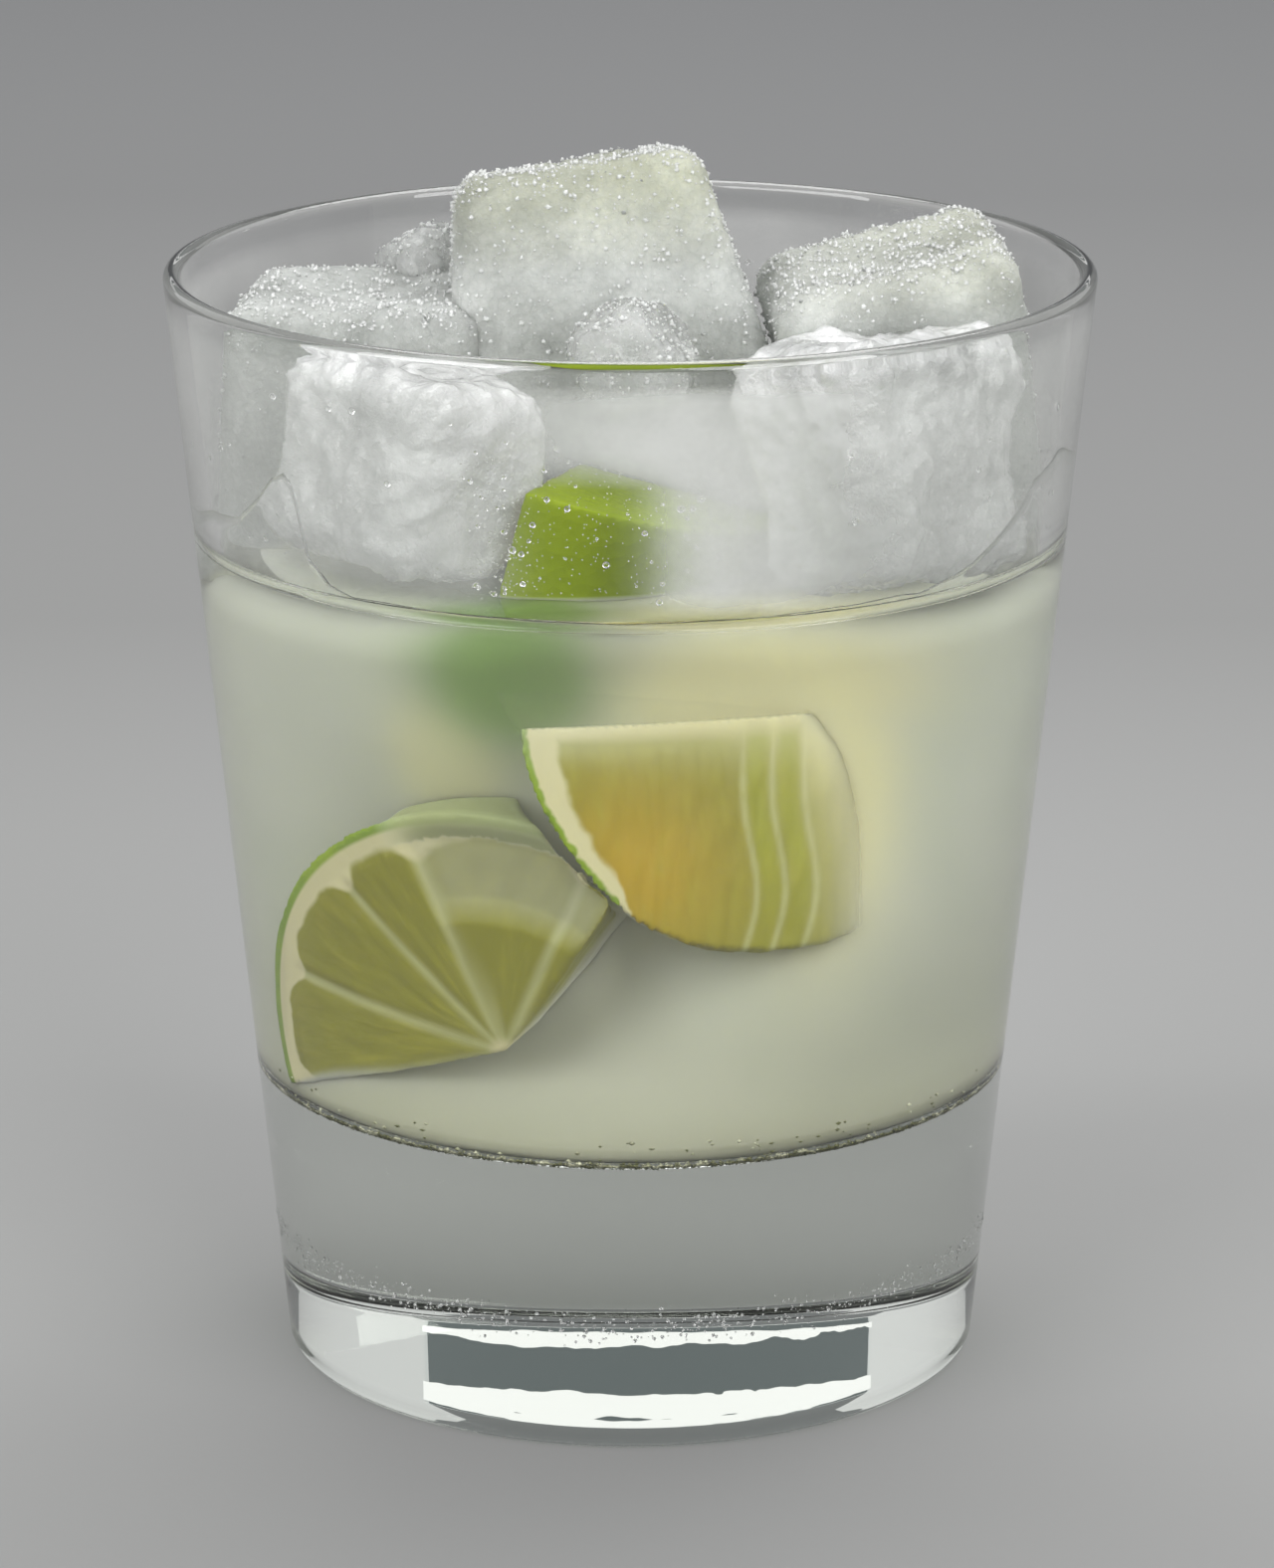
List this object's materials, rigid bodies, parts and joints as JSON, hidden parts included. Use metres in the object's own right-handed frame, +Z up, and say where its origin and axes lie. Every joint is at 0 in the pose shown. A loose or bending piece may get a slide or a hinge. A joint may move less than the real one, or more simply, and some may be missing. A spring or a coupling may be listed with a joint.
{
  "type": "caipirinha",
  "caption": "Tapered tumbler with a thick clear base, holding a cloudy lime drink with lime chunks and ice blocks standing above the rim.",
  "frame": {"origin": "centre of the foot, on the surface the glass stands on", "axes": "+Z up along the glass's axis, -Y towards the side where the lime chunks show, +X to the right of someone looking at that side"},
  "size_m": [0.0892, 0.0892, 0.1188],
  "materials": {
    "glass": "clear polished soda-lime glass",
    "drink": "cloudy lime juice and spirit",
    "ice": "frosted, half-clear ice",
    "lime_peel": "waxy, finely pitted lime peel",
    "lime_flesh": "wet lime flesh with pale membranes and pith"
  },
  "bodies": {
    "root": {"tumbler": "glass", "drink": "drink", "lime_middle": "lime_flesh", "lime_lower": "lime_flesh", "lime_upper": "lime_peel", "ice_front_left": "ice", "ice_front_right": "ice", "ice_left": "ice", "ice_right": "ice", "ice_centre": "ice", "ice_chip_back": "ice", "ice_chip_front": "ice"}
  },
  "joints": []
}
